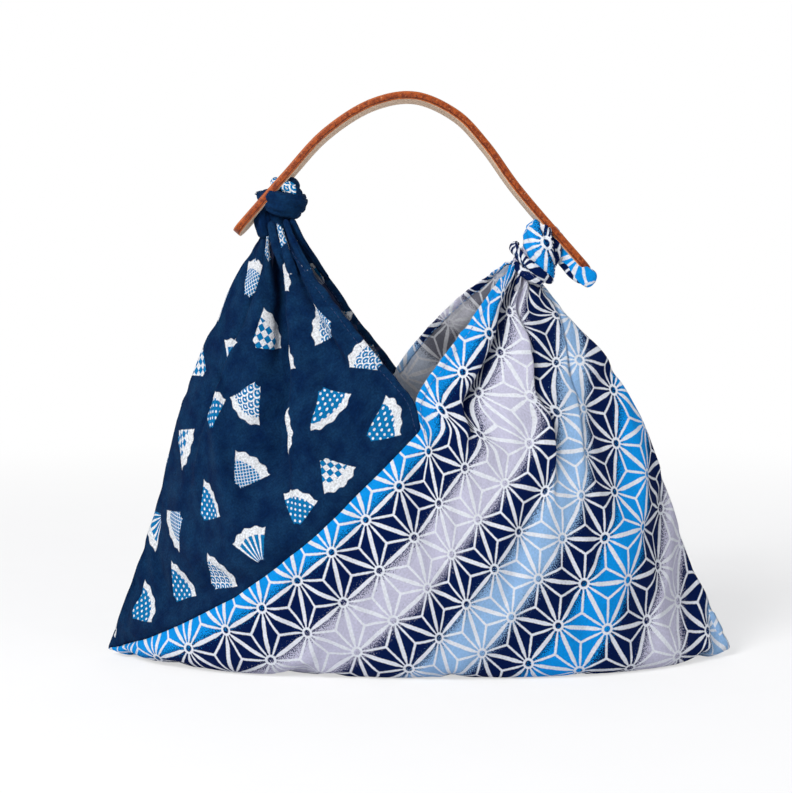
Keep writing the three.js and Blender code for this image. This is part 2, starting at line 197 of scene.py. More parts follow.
def body_point(face, across, level):
    """A point of the lower bag: across runs from the left side fold (-1) to the right one (1)."""
    side = "left" if across < 0 else "right"
    reach = abs(across)
    plump = 1 - reach ** 3
    run = level * MOUTH
    foot = face["foot"] * plump
    climb = climb_after(run - foot, max(min(BEND, foot), 1e-6))
    climbed = climb / (MOUTH - foot)
    fold_x = between(SIDE_FOLDS, side + "_x", level)
    fold_z = between(SIDE_FOLDS, side + "_z", level)
    fold_rise = fold_z / run if run > 0 else 1
    swell = face["belly"] * hump(climbed) + (face["top"] - face["foot"]) * climbed
    shift = face["outward"] * BASE_SHIFT * (1 - climbed)
    out = min(run - climb, foot) + (swell - shift) * plump
    rise = mix(face["rise"], fold_rise, reach ** 2)
    x = mix(face["mouth_x"] * level ** 2, fold_x, reach + SIDE_TURN * reach * (1 - reach))
    lift = CORNER_LIFT * reach ** 12 * (1 - level)
    return Vector((x, face["outward"] * out, climb * rise + lift))


def wing_point(face, side, across, level):
    """A point above the mouth's lowest point: across runs from the hemmed edge (0) to the fold (1)."""
    edges = face["edges"]

    def edge_at(height):
        out = face["outward"] * between(edges, side + "_y", height)
        return Vector((between(edges, side + "_x", height), out, between(edges, side + "_z", height)))

    def fold_at(height):
        x = between(SIDE_FOLDS, side + "_x", height)
        return Vector((x, 0, between(SIDE_FOLDS, side + "_z", height)))

    sign = -1 if side == "left" else 1
    departure = body_point(face, sign * across, 1) - edge_at(1).lerp(fold_at(1), across)
    point = edge_at(level).lerp(fold_at(level), across) + departure * (2 - level)
    point.y += face["outward"] * (level - 1) * 3 * hump(across)
    return point


def plain_point(face_name, side, part, level):
    """A point of the cloth without its folds. part runs from the middle or the mouth's edge to the fold."""
    face = FACES[face_name]
    if level <= 1:
        return body_point(face, part if side == "right" else -part, level)
    return wing_point(face, side, part, min(level, 2))


def wing_place(side, x, run):
    """The part and the level of a place in the flat wing, and the run at which the neck cuts it."""
    neck = NECKS[side]
    part = min(max((abs(x) - (run - MOUTH)) / max(2 * MOUTH - run, 1e-6), 0), 1)
    end = mix(neck["rim_run"], neck["fold_run"], part)
    return part, 1 + (run - MOUTH) / (end - MOUTH), end


def fold_place(side, fold, level):
    """The part at which a main fold crosses a level, and how far up the fold that is, or None."""
    neck = NECKS[side]
    neck_x = mix(neck["rim_run"] - MOUTH, MOUTH, fold["neck"])
    neck_run = mix(neck["rim_run"], neck["fold_run"], fold["neck"])

    def at(height):
        x = mix(fold["end_x"], neck_x, height)
        run = mix(fold["end_run"], neck_run, height)
        if run <= MOUTH:
            return x / MOUTH, run / MOUTH
        part, there, _ = wing_place(side, x, run)
        return part, there

    if at(0)[1] >= level:
        return None
    low, high = 0.0, 1.0
    for _ in range(30):
        middle = (low + high) / 2
        if at(middle)[1] < level:
            low = middle
        else:
            high = middle
    return at(low)[0], low


row_cache = {}


def row_of(face_name, side, level):
    """How one row of cloth is laid: its folds, and the place along the plain row of each step of cloth."""
    key = (face_name, side, round(level, 4))
    if key in row_cache:
        return row_cache[key]
    cloth_length = MOUTH
    if level > 1:
        neck = NECKS[side]
        end = mix(neck["rim_run"], neck["fold_run"], 0.5)
        cloth_length = MOUTH - (level - 1) * (end - MOUTH)
    samples = 48
    points = [plain_point(face_name, side, k / samples, level) for k in range(samples + 1)]
    lengths = [0.0]
    for k in range(samples):
        lengths.append(lengths[-1] + (points[k + 1] - points[k]).length)
    spare = max(cloth_length - lengths[-1], 0.0)
    deepest = mix(FOLD_DEPTH, FOLD_DEPTH_AT_NECK, min(max((level - 1.55) / 0.4, 0), 1))
    folds = []
    for fold in FOLDS[(face_name, side)]:
        found = fold_place(side, fold, level)
        if found is None:
            continue
        centre, height = found
        grown = ease(height / fold.get("grow", 0.3))
        depth = min(fold["share"] * grown * spare / 2, deepest) * ease((1 - centre) / 0.1)
        if depth > 1e-3:
            lean = math.radians(fold["lean"]) * min(1, grown * 1.2)
            faded = 1 - ease((level - 1.8) / 0.2)
            hollow = fold["hollow"] * grown * faded
            folds.append((centre, depth / cloth_length, depth, lean, hollow))
    laid = [0.0]
    star_front = (face_name, side) == ("front", "right")
    for k in range(ROW_STEPS):
        here = (k + 0.5) / ROW_STEPS
        hidden = 0.0
        for centre, half, depth, _, _ in folds:
            off = min(abs(here - centre) / half, 9)
            hidden = max(hidden, min(1, depth / 2) / (1 + math.exp((off - 1) * 14)))
        crowded = CROWDING * (1 - 2 * here) * (1 - ease((level - 1) / 0.4)) if star_front else 0.0
        laid.append(laid[-1] + (1 - 0.94 * hidden) * (1 - crowded))
    total = laid[-1]
    k = 0
    parts = []
    for value in laid:
        wanted = value / total * lengths[-1]
        while k < samples - 1 and lengths[k + 1] < wanted:
            k += 1
        step = lengths[k + 1] - lengths[k]
        parts.append((k + ((wanted - lengths[k]) / step if step > 0 else 0)) / samples)
    row_cache[key] = (folds, parts)
    return row_cache[key]


def in_fold(face_name, side, part, level):
    """How far inside a main fold a point of the cloth is, from 0 to 1."""
    folds, _ = row_of(face_name, side, level)
    offs = [abs(part - centre) / half for centre, half, _, _, _ in folds]
    return max([1 - ease((off - 1) / 1.6) for off in offs], default=0.0)


def folded_point(face_name, side, part, level):
    """A point of the cloth with its main folds."""
    folds, parts = row_of(face_name, side, level)
    place = min(max(part, 0), 1) * ROW_STEPS
    step = min(int(place), ROW_STEPS - 1)
    there = mix(parts[step], parts[step + 1], place - step)
    point = plain_point(face_name, side, there, level)
    if not folds:
        return point
    near = 0.02
    along = plain_point(face_name, side, min(there + near, 1), level)
    along -= plain_point(face_name, side, max(there - near, 0), level)
    lower = max(min(level, 1.98) - near, 0)
    up = plain_point(face_name, side, there, lower + 2 * near) - plain_point(face_name, side, there, lower)
    normal = along.cross(up)
    if normal.length < 1e-9:
        return point
    normal.normalize()
    if normal.y * FACES[face_name]["outward"] < 0:
        normal.negate()
    along.normalize()
    if level > 1.25:
        strength = GATHER_DEPTH * ease((level - 1.25) / 0.5)
        wave = abs(math.sin(math.pi * GATHERS * part + (0.6 if face_name == "front" else 1.3)))
        point = point - normal * strength * ((1 - wave) ** 2 - 0.3)
    for centre, half, depth, lean, hollow in folds:
        beside = (part - centre) * (1 if lean < 0 else -1)
        if beside > 0:
            sunk = hollow * ease(beside / half) * math.exp(-(max(beside - half, 0) / HOLLOW_WIDTH) ** 2)
            point = point - normal * sunk * ease((1 - part) / 0.25)
        off = abs(part - centre) / half
        if off < 1.15:
            fin = math.sqrt((depth * max(0.0, 1 - off)) ** 2 + 0.3) - 0.5
            inward = fin * math.cos(lean) + FOLD_CLEARANCE * (1 - math.exp(-max(fin, 0) / FOLD_CLEARANCE))
            point = point - normal * inward + along * (fin * math.sin(lean))
    return point


def neck_point(side, face_name, part, number):
    """A place on the gathered neck, in tight pleats."""
    neck = NECKS[side]
    turn = (1 - part) * math.radians(NECK_TURN)
    sign = -1 if face_name == "front" else 1
    angle = math.pi - sign * turn if side == "left" else sign * turn
    pleat = 1 if number % 2 else -1
    x = neck["x"] + (neck["wide"] + NECK_PLEAT * pleat) * math.cos(angle)
    y = (neck["deep"] + NECK_PLEAT * pleat) * math.sin(angle)
    return Vector((x, y, neck["z"] + pleat * 0.25))


# ---- camera ----
scene = bpy.context.scene
CAMERA_PLACE = Vector((-12.4, -850.0, 200.0))
CAMERA_DOWN = 3.9  # degrees below level


def added(name, data):
    thing = bpy.data.objects.new(name, data)
    scene.collection.objects.link(thing)
    return thing


camera_data = bpy.data.cameras.new("camera")
camera_data.lens = 71.55
camera_data.sensor_width = 36
camera = added("camera", camera_data)
camera.location = (CAMERA_PLACE + SHIFT) * MM
camera.rotation_euler = (math.radians(90 - CAMERA_DOWN), 0, 0)
scene.camera = camera
scene.view_settings.view_transform = "Standard"


# ---- materials ----
class Link:
    """One output of a node, with the arithmetic that shader maths needs."""

    def __init__(self, maker, socket):
        self.maker = maker
        self.socket = socket

    def _math(self, operation, first, second=None):
        values = {0: first} if second is None else {0: first, 1: second}
        return self.maker.node("ShaderNodeMath", dict(operation=operation), values)

    def __add__(self, other): return self._math("ADD", self, other)
    def __radd__(self, other): return self._math("ADD", other, self)
    def __sub__(self, other): return self._math("SUBTRACT", self, other)
    def __rsub__(self, other): return self._math("SUBTRACT", other, self)
    def __mul__(self, other): return self._math("MULTIPLY", self, other)
    def __rmul__(self, other): return self._math("MULTIPLY", other, self)
    def __truediv__(self, other): return self._math("DIVIDE", self, other)
    def __rtruediv__(self, other): return self._math("DIVIDE", other, self)
    def __pow__(self, other): return self._math("POWER", self, other)
    def __lt__(self, other): return self._math("LESS_THAN", self, other)
    def __gt__(self, other): return self._math("GREATER_THAN", self, other)
    def least(self, other): return self._math("MINIMUM", self, other)
    def most(self, other): return self._math("MAXIMUM", self, other)
    def floor(self): return self._math("FLOOR", self)
    def fract(self): return self._math("FRACT", self)
    def size(self): return self._math("ABSOLUTE", self)
    def sine(self): return self._math("SINE", self)
    def cosine(self): return self._math("COSINE", self)
    def root(self): return self._math("SQRT", self)
    def angle(self, other): return self._math("ARCTAN2", self, other)

    def step(self, low, high):
        """Smoothly 0 below low and 1 above high."""
        settings = dict(interpolation_type="SMOOTHSTEP")
        values = {"Value": self, "From Min": low, "From Max": high}
        return self.maker.node("ShaderNodeMapRange", settings, values)


class Finish:
    """A material or a world under construction."""

    def __init__(self, owner):
        self.owner = owner
        owner.use_nodes = True
        self.tree = owner.node_tree
        self.tree.nodes.clear()

    def node(self, kind, settings=None, values=None, out=0):
        node = self.tree.nodes.new(kind)
        for key, value in (settings or {}).items():
            if key == "stops":
                ramp = node.color_ramp
                while len(ramp.elements) < len(value):
                    ramp.elements.new(1.0)
                for element, (place, colour) in zip(ramp.elements, value):
                    element.position = place
                    element.color = (*colour, 1)
            else:
                setattr(node, key, value)
        for key, value in (values or {}).items():
            socket = node.inputs[key]
            if isinstance(value, Link):
                self.tree.links.new(value.socket, socket)
            elif isinstance(value, (tuple, list)) and len(value) == 3 and socket.type == "RGBA":
                socket.default_value = (*value, 1)
            else:
                socket.default_value = value
        return Link(self, node.outputs[out])

    def colour_mix(self, factor, first, second, blend="MIX"):
        settings = dict(data_type="RGBA", blend_type=blend, clamp_factor=True)
        return self.node("ShaderNodeMix", settings, {0: factor, 6: first, 7: second}, out=2)

    def coordinates(self, uv=True):
        """The cloth's or the piece's own coordinates, in millimetres."""
        if uv:
            place = self.node("ShaderNodeUVMap", dict(uv_map="cloth"))
        else:
            place = self.node("ShaderNodeTexCoord", out=3)
        place = self.scaled(place, 1 / MM)
        return place, self.split(place)

    def noise(self, place, scale, detail=2.0, roughness=0.5, kind="3D"):
        values = {"Vector": place, "Scale": scale, "Detail": detail, "Roughness": roughness}
        return self.node("ShaderNodeTexNoise", dict(noise_dimensions=kind), values)

    def shader(self, colour, roughness, height=None, bump=0.3, distance=0.0004, **fixed):
        values = {"Base Color": colour, "Roughness": roughness, **fixed}
        if height is not None:
            values["Normal"] = self.node(
                "ShaderNodeBump", None, {"Height": height, "Strength": bump, "Distance": distance})
        return self.finished(self.node("ShaderNodeBsdfPrincipled", None, values))

    def scaled(self, colour, factor):
        values = {0: colour, "Scale": factor}
        return self.node("ShaderNodeVectorMath", dict(operation="SCALE"), values)

    def split(self, vector):
        return [self.node("ShaderNodeSeparateXYZ", None, {0: vector}, out=k) for k in range(3)]

    def background_rays(self):
        """1 on the camera's own rays and on those that metal or glass sends on, which see white."""
        seen, glossy, through = [self.node("ShaderNodeLightPath", out=k) for k in (0, 3, 6)]
        return seen.most(glossy).most(through)

    def finished(self, surface, kind="ShaderNodeOutputMaterial"):
        output = self.tree.nodes.new(kind)
        self.tree.links.new(surface.socket, output.inputs["Surface"])
        return self.owner


def new_finish(name):
    return Finish(bpy.data.materials.new(name))


WHITE_PRINT = (0.84, 0.865, 0.93)
INDIGO = (0.0010, 0.0095, 0.070)
BRIGHT_BLUE = (0.004, 0.31, 0.84)
LAVENDER = (0.61, 0.60, 0.755)
SKY = (0.31, 0.52, 0.82)
NAVY = (0.0010, 0.013, 0.059)
CREAM = (0.81, 0.83, 0.86)
CYAN_BLUE = (0.004, 0.18, 0.44)

STAR_PITCH = 25.3  # between star centres along a row
ROW_PITCH = 24.3  # between rows of stars
FIRST_ROW = 12.0
SLANT = math.hypot(STAR_PITCH / 2, ROW_PITCH)
SLANT_HEIGHT = STAR_PITCH * ROW_PITCH / SLANT


def weave(finish, across, along, place):
    """Threads of a plain weave: their height, and a slow unevenness."""
    thread = 2 * math.pi / 0.62
    wobble = finish.noise(place, 0.35, 2.0) * 1.2
    warp = ((across + wobble) * thread).sine()
    weft = ((along + wobble) * thread).sine()
    slub = finish.noise(place, 0.9, 3.0, 0.6)
    return warp * weft * 0.5 + slub * 0.9, slub


def star_print(finish, across, along, place):
    """Hemp-leaf star grid in white over bands of colour."""
    rows = (along - FIRST_ROW) / ROW_PITCH
    columns = across / STAR_PITCH - rows * 0.5
    far_row, far_column = rows.fract(), columns.fract()
    upper = (far_row + far_column) > 1.0
    keep = 1 - upper * 2
    b = upper + far_row * keep
    a = upper + far_column * keep
    c = 1 - a - b
    least = a.least(b.least(c))
    most = a.most(b.most(c))
    middle = 1 - least - most
    px = (a + b * 0.5) * STAR_PITCH
    py = b * ROW_PITCH

    def off(x0, y0):
        dx, dy = px - x0, py - y0
        return dx * dx + dy * dy

    centre = off(0, 0).least(off(STAR_PITCH, 0).least(off(STAR_PITCH / 2, ROW_PITCH))).root()
    edge = (a * SLANT_HEIGHT).least((b * ROW_PITCH).least(c * SLANT_HEIGHT))
    tripod = (middle - least) * (STAR_PITCH / 2)
    ragged = (finish.noise(place, 0.8, 2.0) - 0.5) * 0.5
    half = 0.275 + 0.79 * centre.step(1.8, 8.0)
    fine = 0.22 + 0.26 * centre.step(2.5, 7.0)
    line = 1 - (edge - half + ragged).step(-0.18, 0.18)
    leaf = 1 - (tripod - fine * 1.25 + ragged).step(-0.18, 0.18)
    ring = 1 - (centre - 3.0 + ragged).step(-0.2, 0.2)
    dot = 1 - (centre - 1.65 + ragged).step(-0.2, 0.2)
    white = line.most(leaf).most(ring) * (1 - dot)

    speckle = finish.noise(place, 1.5, 2.0, 0.8) - 0.5
    drift = finish.noise(place, 0.03, 1.0) - 0.5
    stripe = rows + speckle * 1.25 + drift * 0.05
    bands = (BRIGHT_BLUE, INDIGO, LAVENDER, INDIGO, SKY, INDIGO, BRIGHT_BLUE, INDIGO, LAVENDER, INDIGO, SKY)
    borders = [-0.08] + [k + 0.10 for k in range(1, 10)]
    soft = 0.022
    stops = [(0.0, bands[0])]
    for border, before, after in zip(borders, bands, bands[1:]):
        stops.append(((border - soft + 1) / 12, before))
        stops.append(((border + soft + 1) / 12, after))
    ground = finish.node("ShaderNodeValToRGB", dict(stops=stops), {0: (stripe + 1) / 12})
    shade = 0.9 + 0.2 * finish.noise(place, 0.06, 2.0)
    return finish.colour_mix(white, finish.scaled(ground, shade), WHITE_PRINT)


def fan_print(finish, across, along, place):
    """Small folding fans, cream at their outer edge and blue below, scattered over navy."""
    pitch = 33.0
    line = along / pitch
    row = line.floor()
    odd = (row * 0.5).fract()
    column_line = across / pitch + odd
    column = column_line.floor()
    cell = finish.node("ShaderNodeCombineXYZ", None, {0: column, 1: row, 2: 3.7})
    chance = finish.node("ShaderNodeTexWhiteNoise", dict(noise_dimensions="3D"), {0: cell}, out=1)
    parts = finish.split(chance)
    other = finish.node("ShaderNodeTexWhiteNoise", dict(noise_dimensions="3D"), {0: chance}, out=0)
    x = (column_line.fract() - 0.5) * pitch + (parts[0] - 0.5) * 7
    y = (line.fract() - 0.5) * pitch + (parts[1] - 0.5) * 7
    turn = parts[2] * (2 * math.pi)
    cos, sin = turn.cosine(), turn.sine()
    u = x * cos + y * sin
    v = y * cos - x * sin + 10.0
    radius = (u * u + v * v).root()
    angle = u.angle(v)
    wobble = (finish.noise(place, 0.7, 2.0) - 0.5) * 0.7
    scallop = (angle * 19).cosine() * 0.45
    outside = (radius - 20.0 - scallop).most((angle.size() - 0.60) * radius).most(3.2 - radius)
    fan = (1 - (outside + wobble).step(-0.25, 0.25)) * (across > -50.0)

    rim = (radius + wobble * 2.2 - 15.8 - (other - 0.5) * 2).step(-0.2, 0.2)
    checks = ((u / 3.0).floor() + (v / 3.0).floor()) * 0.5
    checker = checks.fract() > 0.25
    lattice = ((u + v) * 1.35).sine().size().least(((u - v) * 1.35).sine().size()) < 0.34
    ribs = (angle * 26).sine() > 0.35
    wave_row = (v / 2.6).floor()
    wx = ((u + wave_row * 2.2) / 4.4).fract() - 0.5
    wy = (v / 2.6).fract()
    ripple = ((wx * wx * 2.8 + wy * wy).root() * 9.5).sine() > 0.25
    dot_u, dot_v = (u / 2.9).fract() - 0.5, (v / 2.9).fract() - 0.5
    dotted = (dot_u * dot_u + dot_v * dot_v) < 0.055
    kinds = [checker, lattice, ribs, ripple, dotted]
    fill = kinds[0] * (other < 0.2)
    for k, kind in enumerate(kinds[1:], 1):
        fill = fill + kind * (other > 0.2 * k) * (other < 0.2 * (k + 1))
    mottled = finish.noise(place, 0.10, 3.0, 0.6)
    flecks = finish.noise(place, 1.1, 3.0, 0.7).step(0.60, 0.78)
    ground = finish.colour_mix(mottled.step(0.25, 0.75), NAVY, (0.006, 0.036, 0.100))
    ground = finish.colour_mix(flecks * 0.35, ground, (0.018, 0.085, 0.20))
    blue = finish.colour_mix(fill, CYAN_BLUE, CREAM)
    motif = finish.colour_mix(rim, blue, CREAM)
    return finish.colour_mix(fan, ground, motif)


def cloth_finish(name, pattern, wrong_side_and_shade, unevenness):
    """Printed cotton. The wrong-side argument is None, or a darker colour and how far the greyed print is
    mixed toward it: partly the cloth's duller wrong side, partly painted shade of the bag's inside.
    """
    finish = new_finish(name)
    place, (across, along, _) = finish.coordinates()
    colour = pattern(finish, across, along, place)
    threads, slub = weave(finish, across, along, place)
    crumple = (finish.noise(place, 0.055, 3.0, 0.6) - 0.5).size()
    crumple = crumple + (finish.noise(place, 0.021, 2.0) - 0.5).size() * 2
    if wrong_side_and_shade:
        # Inner faces: the print is greyed and mixed toward a darker colour, partly the duller wrong side of
        # the cloth and partly painted shade inside the bag.
        values = {"Saturation": 0.42, "Value": 1.0, "Color": colour}
        faded = finish.node("ShaderNodeHueSaturation", None, values)
        colour = finish.colour_mix(wrong_side_and_shade[1], faded, wrong_side_and_shade[0])
    colour = finish.scaled(colour, 1 - unevenness * (0.5 - slub.step(0.25, 0.75)))
    rough = 0.86 + 0.10 * slub
    fixed = {"Sheen Weight": 0.01, "Sheen Roughness": 0.5, "Specular IOR Level": 0.04}
    return finish.shader(colour, rough, threads * 0.08 + crumple, 0.8, 0.0035, **fixed)


def leather_finish():
    finish = new_finish("tanned_leather")
    place, _ = finish.coordinates(uv=False)
    flesh, grain, depth = [
        finish.node("ShaderNodeAttribute", dict(attribute_name=name), out=2)
        for name in ("flesh", "grain", "depth")]
    blotch = finish.noise(place, 0.05, 4.0, 0.6)
    pores = finish.noise(place, 0.9, 4.0, 0.7)
    drawn_out = finish.node("ShaderNodeMapping", None, {0: place, 3: (0.35, 1.0, 0.35)})
    fibre = finish.noise(drawn_out, 1.3, 4.0, 0.7)
    wander = (finish.noise(place, 0.12, 2.0) - 0.5) * 0.25
    edge = finish.colour_mix(fibre.step(0.35, 0.65), (0.14, 0.020, 0.004), (0.38, 0.072, 0.010))
    edge = finish.colour_mix(pores.step(0.56, 0.72) * 0.6, edge, (0.85, 0.42, 0.17))
    # Painted highlight: the bevels along both rims of the edge are painted a lighter orange, as where light
    # catches the rounded corners.
    painted_bevel_highlight = (depth + wander).step(0.78, 0.92).most(1 - (depth + wander).step(0.10, 0.24))
    edge = finish.colour_mix(painted_bevel_highlight * 0.55, edge, (0.62, 0.16, 0.026))
    # Painted shade: a near-black line along a groove in the edge; the same mask also dents the bump height.
    groove_and_painted_shade = ((depth + wander - 0.27).size() * -1 + 0.075).step(0.0, 0.05)
    edge = finish.colour_mix(groove_and_painted_shade * 0.85, edge, (0.050, 0.009, 0.004))
    skin = finish.colour_mix(blotch.step(0.3, 0.7), (0.34, 0.070, 0.012), (0.50, 0.13, 0.024))
    skin = finish.colour_mix(pores.step(0.30, 0.46) * 0.5, (0.22, 0.05, 0.012), skin)
    brown = finish.colour_mix(grain, edge, skin)
    pale = finish.colour_mix(pores.step(0.3, 0.7), (0.66, 0.45, 0.30), (0.86, 0.68, 0.52))
    pale = finish.colour_mix(fibre.step(0.62, 0.72) * 0.4, pale, (0.50, 0.28, 0.16))
    colour = finish.colour_mix(flesh, brown, pale)
    rough = 0.40 + flesh * 0.42 + pores * 0.14
    height = pores * 0.5 + fibre * 0.6 + blotch * 0.4 - groove_and_painted_shade * 0.8
    return finish.shader(colour, rough, height, 0.5, 0.0004, **{"Specular IOR Level": 0.22})


def thread_finish(name, colour):
    finish = new_finish(name)
    place, _ = finish.coordinates(uv=False)
    strands = finish.noise(place, 2.5, 2.0)
    return finish.shader(finish.scaled(colour, 0.7 + 0.6 * strands), 0.8, strands, 0.3, 0.0002)


def floor_finish():
    finish = new_finish("pale_floor")
    place, _ = finish.coordinates(uv=False)
    grain = finish.noise(place, 0.02, 3.0)
    colour = finish.colour_mix(grain, (0.86, 0.86, 0.88), (0.90, 0.90, 0.915))
    diffuse = finish.node("ShaderNodeBsdfDiffuse", None, {"Color": colour, "Roughness": 0.6})
    glow = finish.node("ShaderNodeEmission", None, {"Color": (1, 1, 1), "Strength": 1.0})
    far = finish.node("ShaderNodeVectorMath", dict(operation="LENGTH"), {0: place}, out=1).step(250, 1300)
    seen = finish.background_rays() * (0.6 + 0.4 * far)
    return finish.finished(finish.node("ShaderNodeMixShader", None, {0: seen, 1: diffuse, 2: glow}))


fan_cotton = cloth_finish("navy_fan_cotton", fan_print, None, 0.55)
# Inner faces of the navy cloth: greyed, darkened print, partly the cloth's wrong side and partly painted
# shade inside the bag.
fan_cotton_inside = cloth_finish("navy_fan_cotton_wrong_side_and_painted_shade", fan_print, ((0.03, 0.04, 0.11), 0.66), 0.40)
star_cotton = cloth_finish("hemp_leaf_cotton", star_print, None, 0.22)
# Inner faces of the hemp-leaf cloth: greyed, darkened print, partly the cloth's wrong side and partly painted
# shade inside the bag.
star_cotton_inside = cloth_finish("hemp_leaf_cotton_wrong_side_and_painted_shade", star_print, ((0.36, 0.36, 0.42), 0.42), 0.25)
tanned_leather = leather_finish()
navy_thread = thread_finish("navy_thread", (0.012, 0.03, 0.10))
pale_thread = thread_finish("pale_blue_thread", (0.16, 0.34, 0.66))


# ---- mesh helpers ----
def new_piece(name, points, faces, materials, edges=()):
    mesh = bpy.data.meshes.new(name)
    mesh.from_pydata([tuple((Vector(p) + SHIFT) * MM) for p in points], edges, faces)
    for material in materials:
        mesh.materials.append(material)
    mesh.polygons.foreach_set("use_smooth", [True] * len(mesh.polygons))
    mesh.update()
    return added(name, mesh)


def square_plane(name, reach, height):
    mesh = bpy.data.meshes.new(name)
    corners = ((-reach, -reach), (reach, -reach), (reach, reach), (-reach, reach))
    mesh.from_pydata([(x, y, height) for x, y in corners], [], [(0, 1, 2, 3)])
    return added(name, mesh)


def set_uv(mesh, corner_uvs):
    layer = mesh.uv_layers.new(name="cloth")
    layer.data.foreach_set("uv", [value for pair in corner_uvs for value in pair])


def baked(piece):
    """Applies the piece's modifiers."""
    graph = bpy.context.evaluated_depsgraph_get()
    mesh = bpy.data.meshes.new_from_object(piece.evaluated_get(graph))
    old = piece.data
    piece.modifiers.clear()
    piece.data = mesh
    bpy.data.meshes.remove(old)
    mesh.name = piece.name
    return piece


def rounded(rows, count):
    """Evenly spaced rows on a smooth line through a table's rows, whose first three numbers are the place."""
    def part_way(start, end, part):
        return tuple(mix(p, q, part) for p, q in zip(start, end))

    def apart(start, end):
        return math.dist(start[:3], end[:3])

    rows = [part_way(rows[1], rows[0], 2), *rows, part_way(rows[-2], rows[-1], 2)]
    fine = []
    for p0, p1, p2, p3 in zip(rows, rows[1:], rows[2:], rows[3:]):
        t1 = apart(p0, p1) ** 0.5
        t2 = t1 + apart(p1, p2) ** 0.5
        t3 = t2 + apart(p2, p3) ** 0.5
        for k in range(40):
            t = mix(t1, t2, k / 40)
            a1 = part_way(p0, p1, t / t1)
            a2 = part_way(p1, p2, (t - t1) / (t2 - t1))
            a3 = part_way(p2, p3, (t - t2) / (t3 - t2))
            b1 = part_way(a1, a2, t / t2)
            b2 = part_way(a2, a3, (t - t1) / (t3 - t1))
            fine.append(part_way(b1, b2, (t - t1) / (t2 - t1)))
    fine.append(rows[-2])
    lengths = [0.0]
    for p, q in zip(fine, fine[1:]):
        lengths.append(lengths[-1] + apart(p, q))
    line = []
    k = 0
    for number in range(count + 1):
        wanted = lengths[-1] * number / count
        while k < len(fine) - 2 and lengths[k + 1] < wanted:
            k += 1
        line.append(part_way(fine[k], fine[k + 1], (wanted - lengths[k]) / (lengths[k + 1] - lengths[k])))
    return line, lengths[-1]


def direction(line, k):
    return (line[min(k + 1, len(line) - 1)] - line[max(k - 1, 0)]).normalized()


# ---- the cloth ----
def flat_cloth():
    """The folded cloth as a grid: flat places, folded places, pinned points, faces and their panels."""
    cells = CELLS
    size = MOUTH / cells
    index = {}
    cloth = dict(flat=[], place=[], kind=[], tucked=[])

    def kept(i, j):
        if j < 0 or abs(i) > cells:
            return False
        if j <= cells:
            return True
        if abs(i) < j - cells:
            return False
        _, level, end = wing_place("left" if i < 0 else "right", i * size, j * size)
        return level <= 2 + 0.5 * size / (end - MOUTH)

    def vertex(face, i, j):
        shared = j == 0 or abs(i) == cells
        key = ("fold" if shared else face, i, j)
        if key in index:
            return index[key]
        x, run = i * size, j * size
        side = "left" if i < 0 else "right"
        rim = abs(i) == j - cells
        kind = "fold" if abs(i) == cells else "rim" if rim else "bottom" if j == 0 else "cloth"
        if j > cells:
            part, level, end = wing_place(side, x, run)
            top = not kept(i, j + 1)
            if top and (not rim or level > 2 - 0.5 * size / (end - MOUTH)):
                kind = "neck"
                run = run if rim else end
                part, _, _ = wing_place(side, x, run)
                place = neck_point(side, face, part, i + cells)
            else:
                place = folded_point(face, side, part, min(level, 2))
        else:
            place = folded_point(face, side, abs(i) / cells, j / cells)
        if kind == "cloth" and face == "front" and i == j - cells:
            kind = "seam"
        place.z = max(place.z, LOWEST)
        index[key] = len(cloth["flat"])
        cloth["flat"].append((x, run))
        cloth["place"].append(place)
        cloth["kind"].append(kind)
        part, level = (abs(i) / cells, j / cells) if j <= cells else wing_place(side, x, run)[:2]
        cloth["tucked"].append(in_fold(face, side, part, min(level, 2)))
        return index[key]

    faces, owners = [], []
    for face in ("front", "back"):
        for j in range(2 * cells):
            for i in range(-cells, cells):
                corners = [(i, j), (i + 1, j), (i + 1, j + 1), (i, j + 1)]
                inside = [c for c in corners if kept(*c)]
                if len(inside) < 3 or (j >= cells and i < 0 and any(c[0] > 0 for c in inside)):
                    continue
                shapes = [inside]
                if len(inside) == 4 and j < cells and i == j - cells:
                    shapes = [[corners[k] for k in (0, 1, 2)], [corners[k] for k in (0, 2, 3)]]
                elif len(inside) == 4 and j < cells and face == "back" and i == cells - 1 - j:
                    shapes = [[corners[k] for k in (0, 1, 3)], [corners[k] for k in (1, 2, 3)]]
                for shape in shapes:
                    ids = [vertex(face, *c) for c in shape]
                    if len(set(ids)) < 3:
                        continue
                    mid_i = sum(c[0] for c in shape) / len(shape)
                    mid_j = sum(c[1] for c in shape) / len(shape)
                    faces.append(ids if face == "front" else ids[::-1])
                    navy = mid_i < (mid_j - cells if mid_j < cells else 0)
                    third = face == "back" and not navy and mid_i > cells - mid_j
                    owners.append((face, navy, third))
    cloth["faces"], cloth["owners"] = faces, owners
    cloth["index"] = index
    return cloth


def cloth_uv(face, navy, third, x, run):
    """A place in the flat fold as a place on the strip of cloth, in metres."""
    root = math.sqrt(2)
    if navy and face == "front":
        u, v = (-x - (run - MOUTH)) / root, (-x + (run - MOUTH)) / root
    elif navy:
        u, v = SQUARE + (x - (run - MOUTH)) / root, SQUARE + (x + (run - MOUTH)) / root
    elif face == "front":
        u, v = SQUARE + (x + MOUTH + run) / root, (x + MOUTH - run) / root
    elif third:
        u, v = 2 * SQUARE + (MOUTH - x + run) / root, SQUARE - (x - MOUTH + run) / root
    else:
        u, v = SQUARE + (x + MOUTH - run) / root, (x + MOUTH + run) / root
    return u * MM, v * MM


